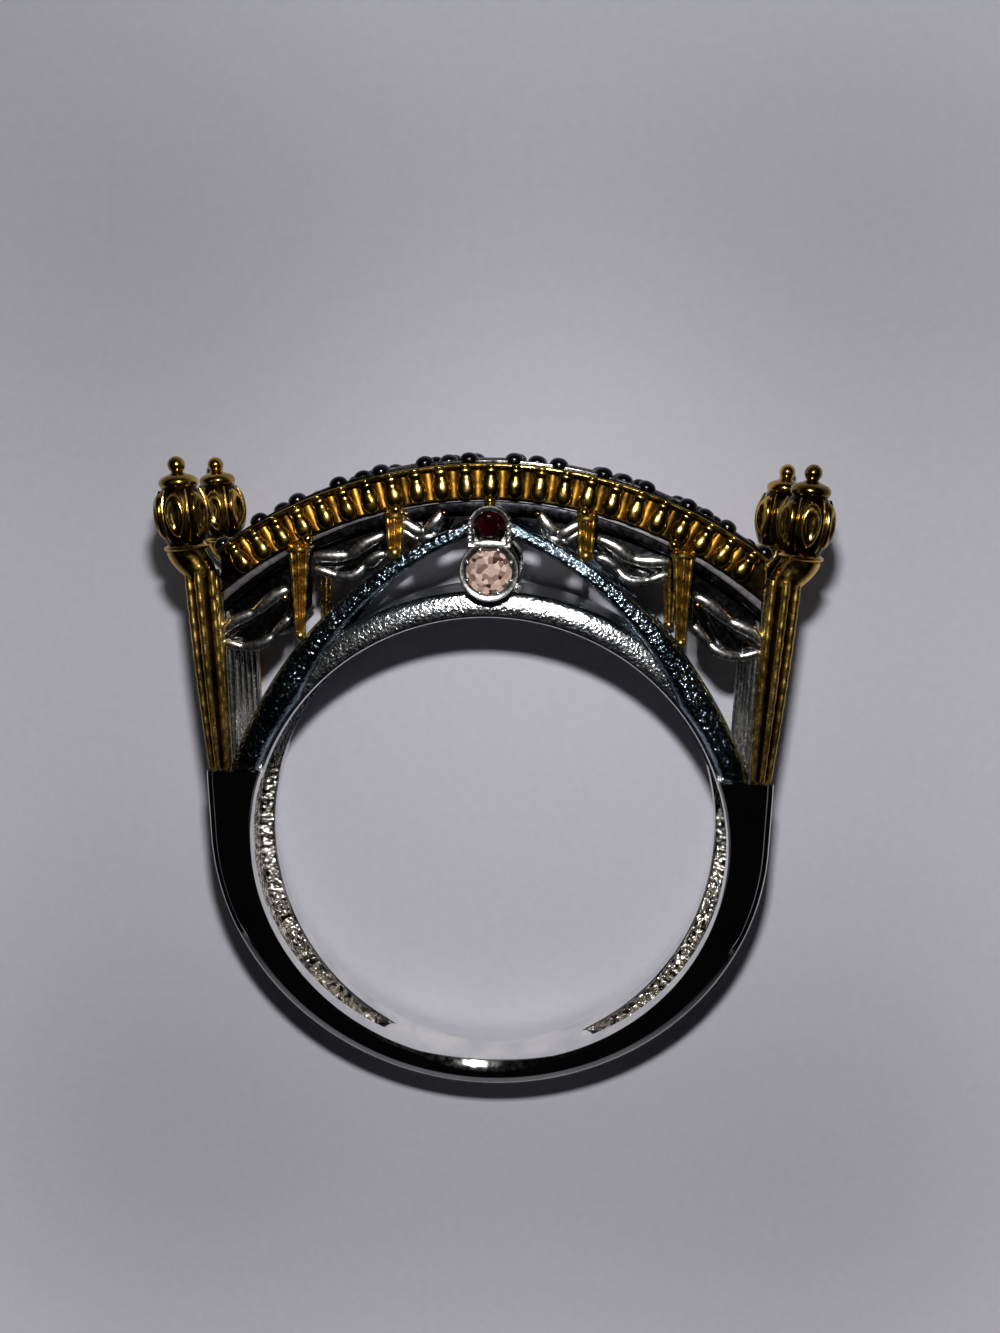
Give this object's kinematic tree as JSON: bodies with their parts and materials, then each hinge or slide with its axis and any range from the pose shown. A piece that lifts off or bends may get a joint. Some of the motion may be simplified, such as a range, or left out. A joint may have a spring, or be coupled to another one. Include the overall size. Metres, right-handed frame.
{
  "type": "garnet ring",
  "caption": "Two-tone finger ring built as an arched bridge: silver shank and pointed arches, gold balustrades with corner lanterns, garnets along the deck.",
  "frame": {"origin": "centre of the finger hole, on the mid-plane between the ring's two faces", "axes": "+Z along the finger hole, out of the face that lies uppermost; +Y from the hole's centre to the bridge; +X to the right seen from above"},
  "size_m": [0.0234, 0.024, 0.0068],
  "materials": {
    "silver": "polished sterling silver",
    "dark_silver": "darkened silver, polished",
    "gold": "polished gold plate on silver",
    "garnet": "faceted and polished garnet",
    "pink_stone": "faceted and polished pale pink stone"
  },
  "bodies": {
    "root": {"shank": "silver", "claw_strip": "dark_silver", "gallery_front": "gold", "gallery_back": "gold", "lantern_post_front_left": "gold", "lantern_post_front_right": "gold", "lantern_post_back_left": "gold", "lantern_post_back_right": "gold", "niche_pink_stone_front": "pink_stone", "niche_pink_stone_back": "pink_stone", "niche_garnet_front": "garnet", "niche_garnet_back": "garnet", "garnet_1": "garnet", "garnet_2": "garnet", "garnet_3": "garnet", "garnet_4": "garnet", "garnet_5": "garnet", "garnet_6": "garnet", "garnet_7": "garnet"}
  },
  "joints": []
}
